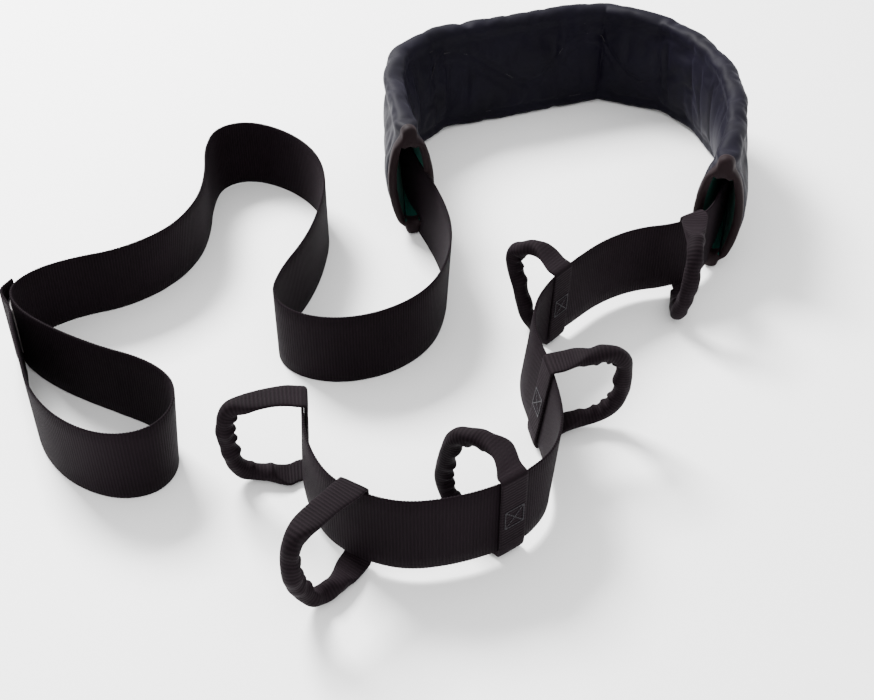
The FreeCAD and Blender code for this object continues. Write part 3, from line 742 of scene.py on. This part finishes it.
def wall_surface(depth):
    """Rings of the sleeve's outside (depth 0) or of its passage's wall at a
    depth under it, with how firmly each point is sewn down."""
    rings = np.zeros((len(sleeve_stations), len(section_rows), 3))
    held = np.zeros(rings.shape[:2])
    wave = np.array(WAVE, float)
    crease = np.zeros_like(sleeve_stations)
    for spot, strength in CREASES:
        crease = np.maximum(crease, strength * np.exp(-((sleeve_stations - spot) / 3.2) ** 2))
    puff = 1 + 0.18 * wobble(sleeve_stations / 14.0, 3)
    from_mouth = np.minimum(sleeve_stations, sleeve_length - sleeve_stations)
    lip = 0.3 + 0.7 * smooth(from_mouth / 26.0)
    for k, (side, z, kind) in enumerate(section_rows):
        if kind == 0:
            share = (z - WALL_LOW) / (WALL_HIGH - WALL_LOW)
            swell = math.sin(math.pi * min(max(share, 0.0), 1.0)) ** 0.55
            stand = (-0.6 + 6.0 * swell * puff) * lip
            seam = 1.0 if share < 0.001 or share > 0.999 else 0.0
            sewn = np.full(len(sleeve_stations), seam)
            if side > 0:
                line_height = np.interp(sleeve_stations, wave[:, 0], wave[:, 1], -99, -99)
                slope = np.abs(np.gradient(line_height, sleeve_stations))
                off = np.abs(z - line_height) / np.sqrt(1 + np.clip(slope, 0, 3) ** 2)
                quilt = np.exp(-(off / 3.4) ** 2)
                stand = stand - 3.0 * quilt * (1 - seam)
                sewn = np.maximum(sewn, np.where(off < 2.6, 1.0, 0.0))
                stand = stand - 3.4 * crease * swell
                sewn = np.maximum(sewn, np.where(crease > 0.6, 0.5, 0.0))
            else:
                stand = stand - 1.6 * crease * swell
            sideways = side * (PASSAGE_HALF + spread * mouth_shape(np.array(z)) + stand)
            up = np.full(len(sleeve_stations), float(z))
        elif kind == 1:
            pinch = 1 - 0.10 * crease + 0.04 * wobble(sleeve_stations / 11.0, 5)
            half_wide, half_high, middle = TOP_ROLL
            sideways = side * half_wide * pinch * (0.55 + 0.45 * lip)
            up = middle + z * half_high * pinch
            sewn = np.zeros(len(sleeve_stations))
        else:
            pinch = 1 - 0.10 * crease + 0.05 * wobble(sleeve_stations / 9.0, 8)
            half_wide, half_high, middle = BOTTOM_ROLL
            sideways = side * half_wide * pinch * (0.55 + 0.45 * lip)
            up = middle + z * half_high * pinch
            sewn = np.zeros(len(sleeve_stations))
        if depth:
            wall = PASSAGE_HALF + spread * mouth_shape(np.clip(up, 0, SLEEVE_HEIGHT)) + 4.4 - depth
            wall = wall + (1 - lip) * (0.45 * depth - 3.0)
            sideways = np.clip(np.sign(side) * wall, -wall, wall)
            if kind:
                sideways = wall * side * 0.8
                up = (108.0 - depth * 0.35 + 2.0 * z) if kind == 1 else (14.0 + depth * 0.35
                                                                        + 2.0 * z)
                up = np.full(len(sleeve_stations), up)
            sewn = np.ones(len(sleeve_stations))
        rings[:, k] = place_sleeve(sleeve_line, sideways, up)
        held[:, k] = sewn
    held[:3] = 1.0
    held[-3:] = 1.0
    return rings, held


def sleeve_shell(name, depths, finish):
    outer, outer_held = wall_surface(depths[0])
    inner, inner_held = wall_surface(depths[1])
    rings = np.concatenate([outer, inner[::-1]])
    stations = np.concatenate([sleeve_stations, sleeve_length + 12 + sleeve_stations,
                               [2 * sleeve_length + 24]])
    girth = np.linspace(0.0, 290.0, rings.shape[1] + 1)
    shell = skin(name, rings, (stations, girth), closed=True)
    shell.data.materials.append(finish)
    return shell, np.concatenate([outer_held, inner_held[::-1]]).ravel()


def swell(piece, held, most):
    """Inflates the padding between its seams, as stuffing does, and applies it."""
    start = np.array([v.co for v in piece.data.vertices])
    group = piece.vertex_groups.new(name="sewn")
    for index, weight in enumerate(held):
        if weight > 0:
            group.add([index], float(weight), "REPLACE")
    bpy.ops.object.select_all(action="DESELECT")
    piece.select_set(True)
    bpy.context.view_layer.objects.active = piece
    cloth = piece.modifiers.new("stuffing", "CLOTH")
    settings = cloth.settings
    settings.quality = 5
    settings.mass = 0.2
    settings.use_pressure = True
    settings.uniform_pressure_force = 3.0
    settings.effector_weights.gravity = 0.0
    settings.vertex_group_mass = "sewn"
    settings.pin_stiffness = 1.0
    settings.tension_stiffness = 12.0
    settings.compression_stiffness = 12.0
    settings.bending_stiffness = 0.15
    settings.shrink_min = -0.03
    cloth.collision_settings.use_collision = False
    cloth.point_cache.frame_start = 1
    cloth.point_cache.frame_end = 20
    scene = bpy.context.scene
    for number in range(1, 21):
        scene.frame_set(number)
    shape = piece.evaluated_get(bpy.context.evaluated_depsgraph_get()).data
    end = np.array([v.co for v in shape.vertices])
    scene.frame_set(1)
    piece.modifiers.remove(cloth)
    move = end - start
    far = np.linalg.norm(move, axis=1)
    move *= (np.tanh(far / (most * MM)) * most * MM / np.maximum(far, 1e-9))[:, None]
    new = start + move
    new[:, 2] = np.maximum(new[:, 2], 0.0002)
    piece.data.vertices.foreach_set("co", new.ravel())
    piece.data.update()
    print("swell", piece.name, "furthest", round(float(far.max()) / MM, 1), "mm")


def subdivide(piece):
    bpy.ops.object.select_all(action="DESELECT")
    piece.select_set(True)
    bpy.context.view_layer.objects.active = piece
    finer = piece.modifiers.new("finer", "SUBSURF")
    finer.levels = finer.render_levels = 1
    bpy.ops.object.modifier_apply(modifier="finer")


sleeve, sleeve_held = sleeve_shell("sleeve_pad", (0.0, PAD_DEPTH), COVER_FINISH)
swell(sleeve, sleeve_held, MOST_SWELL)
subdivide(sleeve)
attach(sleeve, "belt")
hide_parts(*[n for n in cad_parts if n.startswith("sleeve_") and
                      n.endswith(("cover", "wadding", "roll", "filler"))])

lining, _ = sleeve_shell("sleeve_inside", LINING_DEPTHS, LINING_FINISH)
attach(lining, "belt")
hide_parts("sleeve_inner_lining", "sleeve_outer_lining")


def mouth_binding(name, node, ring_numbers):
    """Tape folded over a mouth's edge, from outside to inside."""
    outer = wall_surface(0.0)[0]
    inner = wall_surface(LINING_DEPTHS[1])[0]
    tip, deep = ring_numbers
    inward = outer[deep] - outer[tip]
    inward /= np.linalg.norm(inward, axis=1)[:, None]
    across = outer[tip] - inner[tip]
    across /= np.linalg.norm(across, axis=1)[:, None]
    count = outer.shape[1]
    ripple = 0.35 * wobble(np.arange(count) * 0.9, 2)[:, None] * across
    rings = np.stack([
        outer[tip] + across * 0.2 + inward * 11.0, outer[tip] + across * 1.5 + inward * 10.4,
        outer[tip] + across * 1.7 + inward * 3.0 + ripple, outer[tip] + across * 1.1 - inward * 0.9,
        (outer[tip] + inner[tip]) / 2 - inward * 2.2,
        inner[tip] - across * 1.1 - inward * 0.9, inner[tip] - across * 1.7 + inward * 3.0 - ripple,
        inner[tip] - across * 1.5 + inward * 10.4, inner[tip] - across * 0.2 + inward * 11.0,
        inner[tip] + across * 0.6 + inward * 3.0, outer[tip] - across * 0.6 + inward * 3.0,
    ], axis=1)
    rings[:, :, 2] = np.maximum(rings[:, :, 2], 0.2)
    stations = np.arange(count + 1) * 4.5
    tape = skin(name, rings, (stations, np.linspace(0, 40, rings.shape[1] + 1)), closed=True)
    tape.data.materials.append(BINDING_FINISH)
    subdivide(tape)
    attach(tape, "belt")
    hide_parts(node)


mouth_binding("mouth_tape_right", "sleeve_right_binding", (0, 2))
mouth_binding("mouth_tape_left", "sleeve_left_binding", (-1, -3))


def sleeve_stitches(name, node, rows):
    """Stitches along lines on the sleeve: each row holds stations, heights,
    the side of the sleeve, and how far out the surface is there."""
    blocks = []
    for stations, heights, side, stands in rows:
        count = len(stations)
        line = [np.array([np.interp(stations, sleeve_stations, column) for column in
                          sleeve_line[k].T]).T for k in (0, 1)]
        line.append(np.interp(stations, sleeve_stations, sleeve_line[2]))
        line.append(stations)
        spread_here = sleeve_spread(stations, sleeve_length) * mouth_shape(heights)
        base = place_sleeve(line, side * (PASSAGE_HALF + spread_here + stands), heights)
        above = place_sleeve(line, side * (PASSAGE_HALF + spread_here + stands + 0.7), heights)
        for i in range(0, count - 1, 2):
            a, b = base[i], base[i] + (base[i + 1] - base[i]) * 1.5
            lift = above[i] - base[i]
            way = (b - a) / np.linalg.norm(b - a)
            wide = np.cross(way, lift / np.linalg.norm(lift)) * 0.4
            blocks.append([a - wide, a - wide + lift, a + wide, a + wide + lift,
                           b - wide, b - wide + lift, b + wide, b + wide + lift])
    stitches = stitch_mesh(name, blocks)
    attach(stitches, "belt")
    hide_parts(node)


seam_stations = np.arange(14.0, sleeve_length - 14.0, 2.1)
seam_rows = []
for seam_side in (-1.0, 1.0):
    for seam_height in (WALL_LOW, WALL_HIGH):
        seam_rows.append((seam_stations, np.full(len(seam_stations), seam_height), seam_side,
                          -0.8))
sleeve_stitches("sleeve_seam_stitches", "sleeve_edge_seams", seam_rows)
wave_stations = np.arange(323.0, 639.0, 1.0)
wave_heights = np.interp(wave_stations, *np.array(WAVE, float).T)
travel = np.concatenate([[0], np.cumsum(np.hypot(1.0, np.diff(wave_heights)))])
even = np.arange(0.0, travel[-1], 2.1)
wave_stations = np.interp(even, travel, wave_stations)
wave_heights = np.interp(even, travel, wave_heights)
wave_share = (wave_heights - WALL_LOW) / (WALL_HIGH - WALL_LOW)
wave_stand = -0.6 + 6.0 * np.sin(math.pi * wave_share) ** 0.55 - 3.1
sleeve_stitches("sleeve_quilt_stitches", "sleeve_quilting",
                [(wave_stations, wave_heights, 1.0, wave_stand)])


# ------------------------------------------------------------------ floor and light
bpy.ops.object.select_all(action="DESELECT")
bpy.ops.mesh.primitive_plane_add(size=14.0, location=(0.0, 0.0, -0.0004))
floor = bpy.context.object
floor.name = "floor"
floor_material, _, _, floor_shader = new_material("pale floor")
floor_shader.inputs["Base Color"].default_value = (0.94, 0.94, 0.94, 1)
floor_shader.inputs["Roughness"].default_value = 0.6
floor.data.materials.append(floor_material)

world = bpy.data.worlds.new("studio")
world.use_nodes = True
world.node_tree.nodes["Background"].inputs[0].default_value = (1.0, 1.0, 1.0, 1)
world.node_tree.nodes["Background"].inputs[1].default_value = 1.7
bpy.context.scene.world = world


def softbox(name, place, size, power):
    light = bpy.data.lights.new(name, "AREA")
    light.shape = "SQUARE"
    light.size = size
    light.energy = power
    lamp = bpy.data.objects.new(name, light)
    lamp.location = place
    lamp.rotation_euler = Vector(place).to_track_quat("Z", "Y").to_euler()
    bpy.context.scene.collection.objects.link(lamp)


softbox("key", (-1.2, 1.5, 2.0), 1.0, 330.0)
softbox("fill", (0.4, -2.2, 2.4), 1.8, 24.0)
